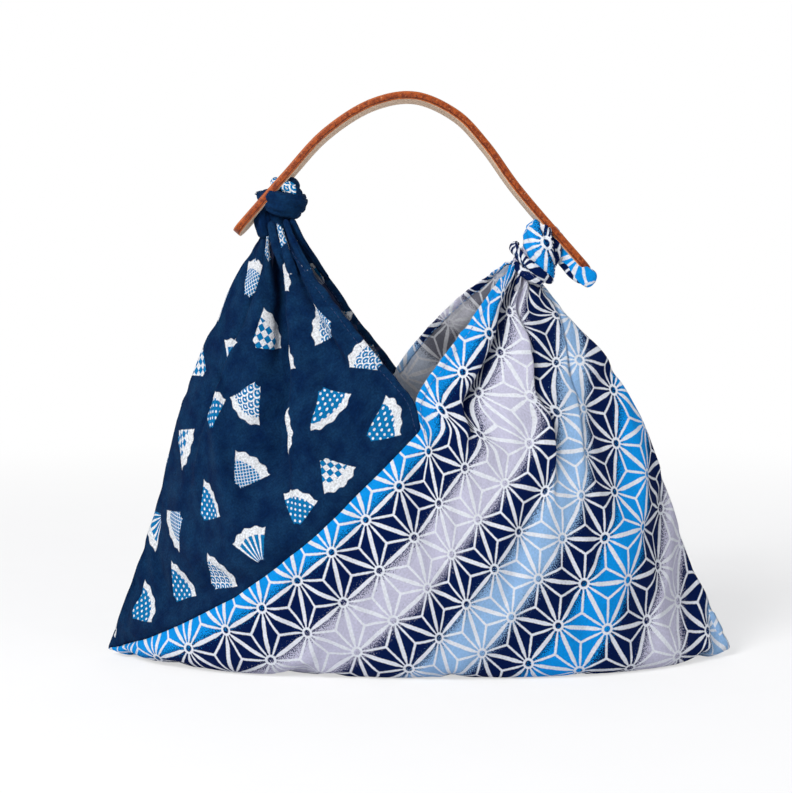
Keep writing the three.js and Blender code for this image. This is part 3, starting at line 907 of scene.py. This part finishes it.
def settled(cloth):
    """Lets the folded cloth hang: a cloth simulation at ten times the size, with its result returned."""
    scale = 10 * MM
    hold = {"neck": 1.0, "fold": 0.6, "rim": 0.6, "bottom": 0.6, "seam": 0.5, "cloth": 0.12}
    mesh = bpy.data.meshes.new("hanging_cloth")
    mesh.from_pydata([tuple(p * scale) for p in cloth["place"]], [], cloth["faces"])
    hanging = added("hanging_cloth", mesh)
    group = hanging.vertex_groups.new(name="held")
    for k, (kind, tucked) in enumerate(zip(cloth["kind"], cloth["tucked"])):
        group.add([k], max(hold[kind], 0.6 * tucked), "REPLACE")
    modifier = hanging.modifiers.new("Cloth", "CLOTH")
    fabric = modifier.settings
    fabric.vertex_group_mass = "held"
    fabric.pin_stiffness = 1.0
    fabric.quality = 6
    fabric.mass = 0.1
    fabric.tension_stiffness = fabric.compression_stiffness = 40
    fabric.shear_stiffness = 13
    fabric.bending_stiffness = 0.3
    fabric.tension_damping = fabric.compression_damping = fabric.shear_damping = 10
    fabric.bending_damping = 0.5
    fabric.air_damping = 3
    fabric.shrink_min = fabric.shrink_max = -0.04
    fabric.use_pressure = True
    fabric.uniform_pressure_force = 0.1
    modifier.collision_settings.use_collision = True
    modifier.collision_settings.distance_min = 0.01
    table = square_plane("table_top", 5, -0.011)
    table.modifiers.new("Collision", "COLLISION")
    table.collision.thickness_outer = 0.004
    last = 25
    modifier.point_cache.frame_start = 1
    modifier.point_cache.frame_end = last
    for number in range(1, last + 1):
        scene.frame_set(number)
    graph = bpy.context.evaluated_depsgraph_get()
    result = bpy.data.meshes.new_from_object(hanging.evaluated_get(graph))
    places = [v.co / scale for v in result.vertices]
    for thing in (hanging, table):
        old = thing.data
        bpy.data.objects.remove(thing)
        bpy.data.meshes.remove(old)
    bpy.data.meshes.remove(result)
    scene.frame_set(1)
    return places


def cloth_panel(name, cloth, places, wanted, materials):
    """One panel of the bag as its own piece, subdivided and given its thickness."""
    numbers, points, faces, uvs = {}, [], [], []
    for ids, (face, navy, third) in zip(cloth["faces"], cloth["owners"]):
        if navy != wanted:
            continue
        for k in ids:
            if k not in numbers:
                numbers[k] = len(points)
                points.append(places[k])
            uvs.append(cloth_uv(face, navy, third, *cloth["flat"][k]))
        faces.append([numbers[k] for k in ids])
    piece = new_piece(name, points, faces, materials)
    set_uv(piece.data, uvs)
    finer = piece.modifiers.new("Subdivision", "SUBSURF")
    finer.levels = finer.render_levels = 1
    finer.uv_smooth = "PRESERVE_CORNERS"
    thick = piece.modifiers.new("Solidify", "SOLIDIFY")
    thick.thickness = CLOTH_THICK * MM
    thick.offset = -1
    thick.material_offset = 1
    thick.material_offset_rim = 0
    baked(piece)
    edges = [(places[k] + SHIFT) * MM for k, kind in enumerate(cloth["kind"]) if kind == "fold"]
    tree = KDTree(len(edges))
    for number, edge in enumerate(edges):
        tree.insert(edge, number)
    tree.balance()
    for polygon in piece.data.polygons:
        if polygon.material_index == 1 and tree.find(polygon.center)[2] < SIDE_TUCK * MM:
            polygon.material_index = 0
    return piece


def surface_normals(cloth, places):
    """Outward direction of the cloth at each of its points."""
    normals = [Vector() for _ in places]
    for ids in cloth["faces"]:
        a, b, c = (places[k] for k in ids[:3])
        across = (b - a).cross(c - a)
        for k in ids:
            normals[k] += across
    return [n.normalized() if n.length > 0 else Vector((0, 0, 1)) for n in normals]


def pulled_in_seams(cloth, places):
    """The seams lie a little deeper than the cloth beside them."""
    normals = surface_normals(cloth, places)
    for (face, i, j), k in cloth["index"].items():
        front_seam = face == "front" and i == j - CELLS
        back_seams = face == "back" and i in (j - CELLS, CELLS - j) and j <= CELLS
        if cloth["kind"][k] not in ("rim", "neck") and (front_seam or back_seams):
            places[k] = places[k] - normals[k] * SEAM_DEPTH
    return places


def hem_rows(cloth, places, face, side):
    """Places along a hemmed edge: the edge, the cloth a little way in, and their print coordinates."""
    index, flat = cloth["index"], cloth["flat"]
    rows = []
    for step in range(CELLS):
        i, j = (-step if side == "left" else step), CELLS + step
        inward = (i - 1 if side == "left" else i + 1, j - 1)
        if abs(inward[0]) == CELLS or (face, i, j) not in index or (face, *inward) not in index:
            break
        edge, inner = index[(face, i, j)], index[(face, *inward)]
        uvs = [cloth_uv(face, side == "left", face == "back", *flat[k]) for k in (edge, inner)]
        rows.append((*places[edge], *places[inner], *uvs[0], *uvs[1]))
    return rounded(rows, 3 * len(rows))[0]


def hem_station(rows, k, outward):
    """Edge place, inward direction, outward normal, and the length between the row's two places."""
    edge, inner = Vector(rows[k][:3]), Vector(rows[k][3:6])
    along = Vector(rows[min(k + 1, len(rows) - 1)][:3]) - Vector(rows[max(k - 1, 0)][:3])
    reach = (inner - edge).length
    inward = (inner - edge) / reach
    normal = along.cross(inward).normalized()
    if normal.y * outward < 0:
        normal.negate()
    return edge, inward, normal, reach


def cloth_hem(name, cloth, places, side, material):
    """The turned hems of one sheet at the mouth's front and back edges."""
    points, faces, uvs = [], [], []
    sides = 12
    for face in ("front", "back"):
        rows = hem_rows(cloth, places, face, side)
        outward = FACES[face]["outward"]
        base = len(points)
        offsets = []
        for s in range(sides):
            angle = 2 * math.pi * s / sides
            across = HEM_WIDTH / 2 - 0.2 + HEM_WIDTH / 2 * math.cos(angle)
            offsets.append((across, HEM_THICK / 2 * math.sin(angle)))
        marks = []
        for k in range(len(rows)):
            edge, inward, normal, reach = hem_station(rows, k, outward)
            end = 0.55 if k in (0, len(rows) - 1) else 1.0
            for across, high in offsets:
                points.append(edge + inward * across + normal * (high * end - CLOTH_THICK / 2))
                part = across / reach
                marks.append((mix(rows[k][6], rows[k][8], part), mix(rows[k][7], rows[k][9], part)))
        for k in range(len(rows) - 1):
            for s in range(sides):
                t = (s + 1) % sides
                ring = [k * sides + s, k * sides + t, (k + 1) * sides + t, (k + 1) * sides + s]
                faces.append([base + n for n in ring])
                uvs += [marks[n] for n in ring]
        for start in (0, (len(rows) - 1) * sides):
            ring = [start + s for s in range(sides)]
            faces.append([base + n for n in ring])
            uvs += [marks[n] for n in ring]
    hem = new_piece(name, points, faces, [material])
    set_uv(hem.data, uvs)
    shape = bmesh.new()
    shape.from_mesh(hem.data)
    bmesh.ops.recalc_face_normals(shape, faces=shape.faces)
    shape.to_mesh(hem.data)
    shape.free()
    return hem


def stitch_tree(material):
    """Stitches of thread in a row along a line. Inputs: the stitches' pitch, length and thickness."""
    tree = bpy.data.node_groups.new("stitch_row", "GeometryNodeTree")
    face = tree.interface
    face.new_socket("Geometry", in_out="INPUT", socket_type="NodeSocketGeometry")
    for name in ("Pitch", "Stitch length", "Thread width"):
        face.new_socket(name, in_out="INPUT", socket_type="NodeSocketFloat")
    face.new_socket("Geometry", in_out="OUTPUT", socket_type="NodeSocketGeometry")

    def add(kind, settings=None, links=None):
        node = tree.nodes.new(kind)
        for key, value in (settings or {}).items():
            setattr(node, key, value)
        for key, value in (links or {}).items():
            if hasattr(value, "is_linked"):
                tree.links.new(value, node.inputs[key])
            else:
                node.inputs[key].default_value = value
        return node

    given = add("NodeGroupInput").outputs
    line = add("GeometryNodeMeshToCurve", None, {"Mesh": given["Geometry"]})
    values = {"Curve": line.outputs[0], "Length": given["Pitch"]}
    spaced = add("GeometryNodeResampleCurve", dict(mode="LENGTH"), values)
    ball = add("GeometryNodeMeshUVSphere", None, {"Segments": 6, "Rings": 5, "Radius": 0.5})
    width = given["Thread width"]
    size = add("ShaderNodeCombineXYZ", None, {0: width, 1: width, 2: given["Stitch length"]})
    stitch = add("GeometryNodeTransform", None, {"Geometry": ball.outputs[0], "Scale": size.outputs[0]})
    tangent = add("GeometryNodeInputTangent")
    turn = add("FunctionNodeAlignRotationToVector", dict(axis="Z"), {"Vector": tangent.outputs[0]})
    placed = add("GeometryNodeInstanceOnPoints", None,
                 {"Points": spaced.outputs[0], "Instance": stitch.outputs[0], "Rotation": turn.outputs[0]})
    real = add("GeometryNodeRealizeInstances", None, {0: placed.outputs[0]})
    smooth = add("GeometryNodeSetShadeSmooth", None, {"Geometry": real.outputs[0]})
    finished = add("GeometryNodeSetMaterial", None, {"Geometry": smooth.outputs[0], "Material": material})
    add("NodeGroupOutput", None, {0: finished.outputs[0]})
    return tree


def hem_stitches(name, cloth, places, side, material):
    """A row of stitches on the right side and one on the wrong side of each hem."""
    points, edges = [], []
    for face in ("front", "back"):
        rows = hem_rows(cloth, places, face, side)
        for high in (HEM_THICK * 0.42, -HEM_THICK * 0.42):
            for k in range(1, len(rows) - 1):
                edge, inward, normal, _ = hem_station(rows, k, FACES[face]["outward"])
                if k > 1:
                    edges.append((len(points) - 1, len(points)))
                points.append(edge + inward * STITCH_IN + normal * (high - CLOTH_THICK / 2))
    row = new_piece(name, points, [], [], edges=edges)
    sewing = row.modifiers.new("Stitches", "NODES")
    sewing.node_group = stitch_tree(material)
    sizes = {"Pitch": STITCH_PITCH, "Stitch length": STITCH_LENGTH, "Thread width": THREAD_WIDTH}
    for socket in sewing.node_group.interface.items_tree:
        if socket.in_out == "INPUT" and socket.name in sizes:
            sewing[socket.identifier] = sizes[socket.name] * MM
    return baked(row)


cloth = flat_cloth()
places = pulled_in_seams(cloth, settled(cloth))
navy_cloth = cloth_panel("navy_cloth", cloth, places, True, [fan_cotton, fan_cotton_inside])
star_cloth = cloth_panel("hemp_leaf_cloth", cloth, places, False, [star_cotton, star_cotton_inside])
navy_hem = cloth_hem("navy_hem", cloth, places, "left", fan_cotton)
star_hem = cloth_hem("hemp_leaf_hem", cloth, places, "right", star_cotton)
navy_stitches = hem_stitches("navy_hem_stitches", cloth, places, "left", navy_thread)
star_stitches = hem_stitches("hemp_leaf_hem_stitches", cloth, places, "right", pale_thread)

# ---- the handle ----
STRAP_STATIONS = 200
strap_rows, strap_length = rounded([(x, 0, z) for x, z in HANDLE_LINE], STRAP_STATIONS)
strap_line = [Vector(row) for row in strap_rows]


def strap_frame(distance):
    """Place, direction and outward direction of the strap's outer line at a distance from its left end."""
    k = min(int(distance / strap_length * STRAP_STATIONS), STRAP_STATIONS)
    along = direction(strap_line, k)
    return strap_line[k], along, Vector((-along.z, 0, along.x))


def leather_strap():
    corner = 1.3
    outline = []
    for cy, cz, start in ((-1, -1, 180), (1, -1, 270), (1, 1, 0), (-1, 1, 90)):
        for step in range(5):
            angle = math.radians(start + 22.5 * step)
            outline.append((cy, cz, corner * math.cos(angle), corner * math.sin(angle)))
    points, faces = [], []
    sides = len(outline)
    for k, place in enumerate(strap_line):
        distance = strap_length * k / STRAP_STATIONS
        cut = max(STRAP_END_ROUND - min(distance, strap_length - distance), 0)
        half = STRAP_WIDTH / 2 - (STRAP_END_ROUND - math.sqrt(STRAP_END_ROUND ** 2 - cut ** 2))
        along = direction(strap_line, k)
        up = Vector((-along.z, 0, along.x))
        for cy, cz, dy, dz in outline:
            y = cy * (half - corner) + dy
            height = -STRAP_THICK / 2 + cz * (STRAP_THICK / 2 - corner) + dz
            points.append(place + up * height + Vector((0, y, 0)))
        if k:
            for s in range(sides):
                a, b = (k - 1) * sides + s, (k - 1) * sides + (s + 1) % sides
                faces.append((a, b, b + sides, a + sides))
    faces.append(tuple(range(sides - 1, -1, -1)))
    faces.append(tuple(range(STRAP_STATIONS * sides, (STRAP_STATIONS + 1) * sides)))
    strap = new_piece("leather_strap", points, faces, [tanned_leather])
    cutters = []
    for distance in (SLOT_FROM_END, strap_length - SLOT_FROM_END):
        place, along, up = strap_frame(distance)
        ring = []
        for sign, start in ((1, -90), (-1, 90)):
            for step in range(13):
                angle = math.radians(start + 15 * step)
                a = sign * (SLOT_LENGTH - SLOT_WIDTH) / 2 + SLOT_WIDTH / 2 * math.cos(angle)
                ring.append(along * a + Vector((0, SLOT_WIDTH / 2 * math.sin(angle), 0)))
        low = [place + p - up * (STRAP_THICK + 4) for p in ring]
        high = [place + p + up * 4 for p in ring]
        count = len(ring)
        walls = [(k, (k + 1) % count, (k + 1) % count + count, k + count) for k in range(count)]
        walls += [tuple(range(count - 1, -1, -1)), tuple(range(count, 2 * count))]
        cutters.append(new_piece("slot_cutter", low + high, walls, []))
    for cutter in cutters:
        cut = strap.modifiers.new("Boolean", "BOOLEAN")
        cut.operation = "DIFFERENCE"
        cut.solver = "EXACT"
        cut.object = cutter
    baked(strap)
    for cutter in cutters:
        bpy.data.objects.remove(cutter)
    return strap


def mark_leather(strap):
    """Marks the pale flesh side and the smooth grain side, so that the finish can tell them apart."""
    mesh = strap.data
    marks = {name: mesh.attributes.new(name, "FLOAT", "CORNER") for name in ("flesh", "grain", "depth")}
    places = [(p + SHIFT) * MM for p in strap_line]
    for polygon in mesh.polygons:
        for corner in polygon.loop_indices:
            point = mesh.vertices[mesh.loops[corner].vertex_index].co
            k = min(range(len(places)), key=lambda n: (places[n] - point).length_squared)
            along = direction(strap_line, k)
            up = Vector((-along.z, 0, along.x))
            facing = polygon.normal.dot(up)
            marks["flesh"].data[corner].value = ease((-facing - 0.55) / 0.35)
            marks["grain"].data[corner].value = ease((facing - 0.55) / 0.35)
            marks["depth"].data[corner].value = 1 + (point - places[k]).dot(up) / (STRAP_THICK * MM)


strap = leather_strap()
mark_leather(strap)


# ---- the knots ----
# Each roll of cloth in a knot: a line of places with half its width, half its thickness and its
# turn in degrees; the direction of its width at the start; its creases and their depth; where its
# print begins on the cloth.
NAVY_ROLLS = (
    dict(side=(1, 0, 0), creases=7, depth=0.36, print_from=(-300, 70), path=(
        (-75.3, 0, 224, 8.0, 6.2, 0), (-75.6, 0, 232, 8.0, 6.0, 10), (-77.4, 0, 240, 7.4, 5.2, 20),
        (-80.2, 0, 247.5, 6.4, 4.2, 0), (-80.8, 1, 250.2, 6.6, 2.6, -30), (-80.4, 5, 252.2, 8.4, 1.7, -42),
        (-79.8, 11, 252.6, 7.6, 1.8, -42), (-77, 14, 250, 6.5, 3.0, -40))),
    dict(side=(0.2, 0, 1), creases=9, depth=0.26, print_from=(-200, 118), path=(
        (-77, 13, 251, 6.0, 3.2, 0), (-69, 11.5, 247, 6.6, 3.4, 0), (-64.6, 3, 244.6, 7.0, 3.6, 0),
        (-65.5, -6.5, 243.8, 7.0, 3.6, 0), (-73, -10, 244.8, 6.8, 3.5, 0), (-80.5, -7.5, 247.0, 5.8, 3.2, 0),
        (-84.5, -2, 248.0, 4.6, 2.6, 0))),
    dict(side=(0.6, 0, 0.6), creases=5, depth=0.22, print_from=(-200, 118), path=(
        (-76, -2, 247, 4.6, 4.0, 0), (-71.5, -3, 252, 4.8, 4.4, 20), (-67.2, -4, 256.6, 4.7, 4.5, 50),
        (-65.6, -4, 258.6, 4.0, 4.0, 60))),
    dict(side=(0.5, 0, 0.8), creases=3, depth=0.2, print_from=(41, 155), path=(
        (-79, -3, 257.5, 2.4, 2.0, 0), (-73, -7.8, 255.6, 3.2, 2.2, 10), (-66.5, -8.8, 251.8, 3.2, 2.2, 20),
        (-62.5, -5, 249, 2.4, 2.0, 30))),
    dict(side=(1, 0, 0), creases=3, depth=0.3, print_from=(-200, 60), path=(
        (-79, -8, 236.1, 2.2, 1.6, 0), (-77, -10.4, 226.4, 2.4, 1.7, 0), (-73.8, -11, 216.8, 2.6, 1.5, 0),
        (-71, -8.5, 209, 2.4, 1.2, 0))),
    dict(side=(1, 0, 0.3), creases=3, depth=0.3, print_from=(43, 150), path=(
        (-75, -8.5, 235.5, 1.4, 1.5, 0), (-71.6, -11.2, 223.8, 2.0, 1.7, 0), (-68.4, -12.8, 213, 2.8, 1.5, 0),
        (-66, -11, 205, 2.6, 1.2, 0))),
    dict(side=(1, 0, 0.4), creases=3, depth=0.3, print_from=(-200, 90), path=(
        (-71.4, -8.5, 237, 1.7, 1.5, 0), (-67.0, -11.5, 225.4, 2.0, 1.6, 0), (-61.8, -13.2, 215, 2.2, 1.4, 0),
        (-57, -13.2, 207.4, 1.8, 1.2, 0))),
    dict(side=(1, 0, 0.5), creases=3, depth=0.3, print_from=(-200, 40), path=(
        (-68.4, -6, 238, 1.7, 1.5, 0), (-63.2, -5, 226.8, 2.0, 1.6, 0), (-57.6, 2, 217.6, 1.9, 1.4, 0),
        (-52.5, 11, 209.5, 1.6, 1.1, 0), (-49.5, 16, 205.5, 1.2, 0.8, 0))),
    dict(side=(1, 0, 0.2), creases=5, depth=0.2, print_from=(-200, 118), path=(
        (-81, 2, 247, 4.0, 4.4, 0), (-83.8, -1, 241, 4.8, 5.2, 10), (-83.4, -3, 235, 4.8, 5.0, 20),
        (-81.5, -2, 227, 4.0, 4.0, 30))),
)
HEMP_LEAF_ROLLS = (
    dict(side=(0.7, 0, -0.7), creases=7, depth=0.36, print_from=(300, 40), path=(
        (55.5, 0, 208, 6.4, 6.2, 0), (57.5, 0, 215, 6.6, 6.2, 10), (62.5, 0, 220.5, 6.4, 5.4, 20),
        (69, 0, 225.5, 6.0, 4.4, 0), (72.4, 0.5, 228.4, 6.0, 3.2, 0), (74.2, 4, 230.2, 6.2, 2.2, 0),
        (75, 10, 229.5, 6.4, 2.4, 0), (75.5, 14, 226, 6.0, 2.8, 0))),
    dict(side=(0.85, 0, 0.5), creases=9, depth=0.30, print_from=(315.5, 149.4), path=(
        (66, 9, 232.5, 5.6, 3.0, 0), (63.0, 3, 234.0, 7.0, 3.4, 0), (62.3, -5, 230.6, 8.4, 4.0, 0),
        (63.6, -10.2, 223.6, 8.8, 4.2, 0), (65.4, -10.8, 216.5, 7.0, 4.0, 0),
        (67.4, -8.6, 209.8, 5.0, 3.6, 0), (68.2, -3, 204.8, 4.0, 2.8, 0))),
    dict(side=(0.85, 0, 0.5), creases=3, depth=0.28, print_from=(150, 74), path=(
        (66.5, -4, 231.5, 2.4, 1.6, 0), (71.4, -8.2, 226.2, 2.9, 2.0, 0), (72.6, -9.6, 220.4, 3.0, 2.2, 0),
        (71.0, -8.6, 213.6, 2.4, 2.0, 0), (69.5, -4, 208.5, 2.0, 1.6, 0))),
    dict(side=(0.7, 0, 0.7), creases=3, depth=0.2, print_from=(40, 122), path=(
        (53, 6, 224, 2.2, 2.0, 0), (50.6, -2, 222.6, 2.6, 2.1, 30), (54, -9, 217.2, 2.7, 2.2, 90),
        (60, -13, 211.2, 2.7, 2.2, 150), (66, -12.4, 206.6, 2.5, 2.1, 210), (71, -5, 204, 2.0, 2.0, 240))),
    dict(side=(0.7, 0, 0.7), creases=3, depth=0.2, print_from=(80, 74), path=(
        (50.5, -3, 214, 2.2, 2.2, 0), (55.5, -9.5, 209.2, 2.8, 2.3, 30), (61, -11.4, 205.8, 2.8, 2.3, 60),
        (67, -8.5, 204.4, 2.4, 2.0, 90))),
    dict(side=(0.6, 0, 0.8), creases=2, depth=0.12, print_from=(125, 0), path=(
        (72, -5, 224, 3.6, 2.4, 0), (79.4, -7.5, 217, 4.6, 2.1, 0), (84.1, -8.5, 210.8, 5.0, 1.8, 8),
        (89.3, -8.5, 206.4, 5.1, 1.5, 12), (93.8, -8, 203.8, 4.8, 1.5, 12))),
    dict(side=(0.6, 0, 0.8), creases=2, depth=0.12, print_from=(90, 74), path=(
        (73, -4, 218.5, 2.4, 1.8, 0), (78.0, -7.2, 212.6, 2.6, 1.8, 0), (82.4, -8, 207.4, 2.4, 1.6, 8),
        (87.5, -8, 203.4, 1.8, 1.2, 12))),
)
ROLL_SIDES = 40
ROLL_END_ROUND = 3.2


def cloth_knot(name, rolls, material):
    """A tied knot: rolls of gathered cloth that wrap round each other."""
    points, faces, uvs = [], [], []
    for number, roll in enumerate(rolls):
        count = 10 + int(math.dist(roll["path"][0][:3], roll["path"][-1][:3]) * 1.5) + 6 * len(roll["path"])
        rows, length = rounded(roll["path"], count)
        centres = [Vector(row[:3]) for row in rows]
        side = Vector(roll["side"])
        base = len(points)
        for k, row in enumerate(rows):
            along = direction(centres, k)
            side = (side - along * side.dot(along)).normalized()
            other = along.cross(side)
            distance = length * k / count
            end = min(distance, length - distance)
            taper = math.sqrt(max(1 - (1 - min(end / ROLL_END_ROUND, 1)) ** 2, 0.0)) if end > 0 else 0.12
            for s in range(ROLL_SIDES):
                angle = 2 * math.pi * s / ROLL_SIDES
                turn = angle + math.radians(row[5])
                drift = 0.05 * distance + 1.7 * number
                crease = (1 - abs(math.sin(roll["creases"] * angle / 2 + drift))) ** 3
                around = (2.4 * math.cos(angle) + 9 * number, 2.4 * math.sin(angle))
                bumps = noise.noise(Vector((distance * 0.16, *around)))
                swell = (1 - roll["depth"] * crease + 0.13 * bumps) * taper
                points.append(centres[k] + side * (math.cos(turn) * row[3] * swell)
                              + other * (math.sin(turn) * row[4] * swell))
        start_u, start_v = roll["print_from"]

        def print_at(k, s):
            girth = 2 * math.pi * math.sqrt((rows[k][3] ** 2 + rows[k][4] ** 2) / 2)
            return (start_u + length * k / count) * MM, (start_v + girth * (s / ROLL_SIDES - 0.5)) * MM

        for k in range(count):
            for s in range(ROLL_SIDES):
                a, b = base + k * ROLL_SIDES + s, base + k * ROLL_SIDES + (s + 1) % ROLL_SIDES
                faces.append((a, b, b + ROLL_SIDES, a + ROLL_SIDES))
                uvs += [print_at(k, s), print_at(k, s + 1), print_at(k + 1, s + 1), print_at(k + 1, s)]
        last = base + count * ROLL_SIDES
        faces.append(tuple(base + s for s in reversed(range(ROLL_SIDES))))
        uvs += [print_at(0, s) for s in reversed(range(ROLL_SIDES))]
        faces.append(tuple(last + s for s in range(ROLL_SIDES)))
        uvs += [print_at(count, s) for s in range(ROLL_SIDES)]
    knot = new_piece(name, points, faces, [material])
    set_uv(knot.data, uvs)
    return knot


navy_knot = cloth_knot("navy_knot", NAVY_ROLLS, fan_cotton)
star_knot = cloth_knot("hemp_leaf_knot", HEMP_LEAF_ROLLS, star_cotton)

# ---- floor and light ----
floor = square_plane("floor", 6, 0)
floor.data.materials.append(floor_finish())

sky = Finish(bpy.data.worlds.new("studio"))
sky_light = sky.node("ShaderNodeBackground", None, {"Color": (0.95, 0.97, 1.0), "Strength": 0.27})
sky_white = sky.node("ShaderNodeBackground", None, {"Color": (1, 1, 1), "Strength": 1.0})
sky_both = sky.node("ShaderNodeMixShader", None, {0: sky.background_rays(), 1: sky_light, 2: sky_white})
scene.world = sky.finished(sky_both, "ShaderNodeOutputWorld")

LAMPS = (
    dict(name="key", place=(-0.75, -0.95, 0.95), size=0.55, power=18.0),
    dict(name="fill", place=(0.85, -0.80, 0.55), size=1.2, power=2.8),
    dict(name="back", place=(0.10, 0.90, 0.90), size=1.0, power=4.5),
)
for row in LAMPS:
    lamp = bpy.data.lights.new(row["name"], "AREA")
    lamp.size = row["size"]
    lamp.energy = row["power"]
    holder = added(row["name"], lamp)
    holder.location = row["place"]
    aim = Vector((0, 0, 0.12)) - holder.location
    holder.rotation_euler = aim.to_track_quat("-Z", "Y").to_euler()

# ---- what each piece is ----
navy_extras = [navy_knot, navy_hem, navy_stitches]
star_extras = [star_knot, star_hem, star_stitches]
for piece in (navy_cloth, star_cloth, strap, *navy_extras, *star_extras):
    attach(piece, "root")
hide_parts("navy_panel")
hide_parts("asanoha_panel")
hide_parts("leather_handle")
